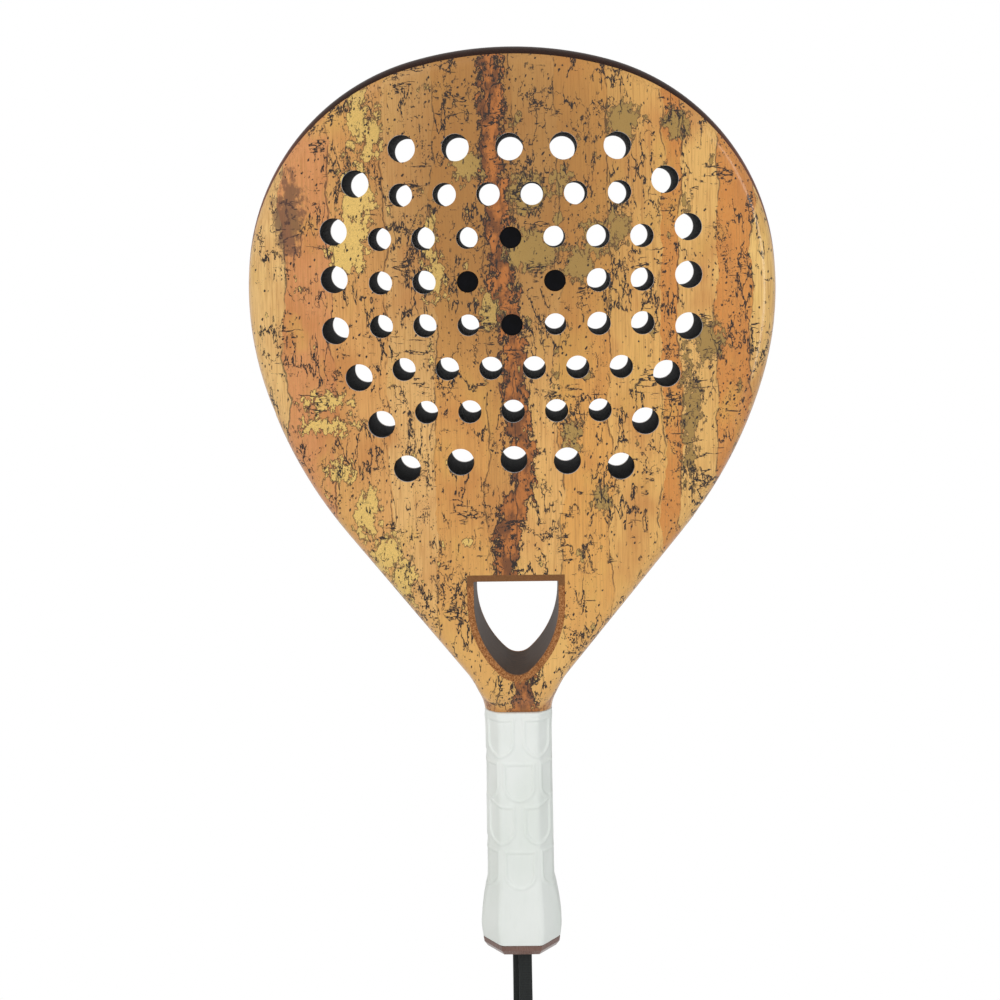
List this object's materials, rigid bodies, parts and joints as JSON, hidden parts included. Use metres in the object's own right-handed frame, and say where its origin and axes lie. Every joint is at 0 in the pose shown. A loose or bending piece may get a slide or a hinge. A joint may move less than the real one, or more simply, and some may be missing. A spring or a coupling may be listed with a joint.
{
  "type": "padel racket",
  "caption": "Padel racket with perforated cork-faced teardrop head, open throat, moulded octagonal grip, butt cap and hanging wrist strap.",
  "frame": {"origin": "on the handle's axis, halfway along the grip, where the hand holds it", "axes": "+Z along the handle towards the head, X across the head, -Y out of the front face"},
  "size_m": [0.2578, 0.049, 0.6054],
  "materials": {
    "cork": "lacquered cork veneer",
    "guard": "glossy brown lacquered edge band",
    "liner": "satin brown moulding",
    "laminate": "woven glass fibre in resin",
    "composite": "carbon fibre tube",
    "foam": "black closed-cell EVA foam",
    "filler": "light polyurethane foam",
    "grip": "white moulded silicone rubber",
    "underlay": "thin black foam wrap",
    "cap": "satin brown moulding",
    "steel": "zinc-plated wire",
    "strap": "black woven polyester webbing",
    "slider": "black moulded rubber"
  },
  "bodies": {
    "racket": {"front_cork": "cork", "rear_cork": "cork", "head_guard": "guard", "throat_liner": "liner", "front_laminate": "laminate", "rear_laminate": "laminate", "frame_hoop": "composite", "hoop_filler": "filler", "throat_bridge": "composite", "throat_ring": "composite", "core_foam": "foam", "shoulder_foam": "foam", "hole_plugs": "foam", "front_pallet": "filler", "rear_pallet": "filler", "handle_filler": "filler", "grip_underlay": "underlay", "grip_sleeve": "grip", "butt_cap": "cap", "cap_staples": "steel", "butt_insert": "cap", "anchor_pin": "steel", "strap_tail": "strap"},
    "strap": {"wrist_strap": "strap"},
    "slider": {"strap_slider": "slider"}
  },
  "joints": [
    {"name": "strap_swing", "type": "hinge", "parent": "racket", "child": "strap", "pos_m": [0, 0, -0.06675], "axis": [1, 0, 0], "range_deg": [-40, 40]},
    {"name": "slider_slide", "type": "slide", "parent": "strap", "child": "slider", "axis": [0, 0, 1], "range_m": [0, 0.025]}
  ]
}
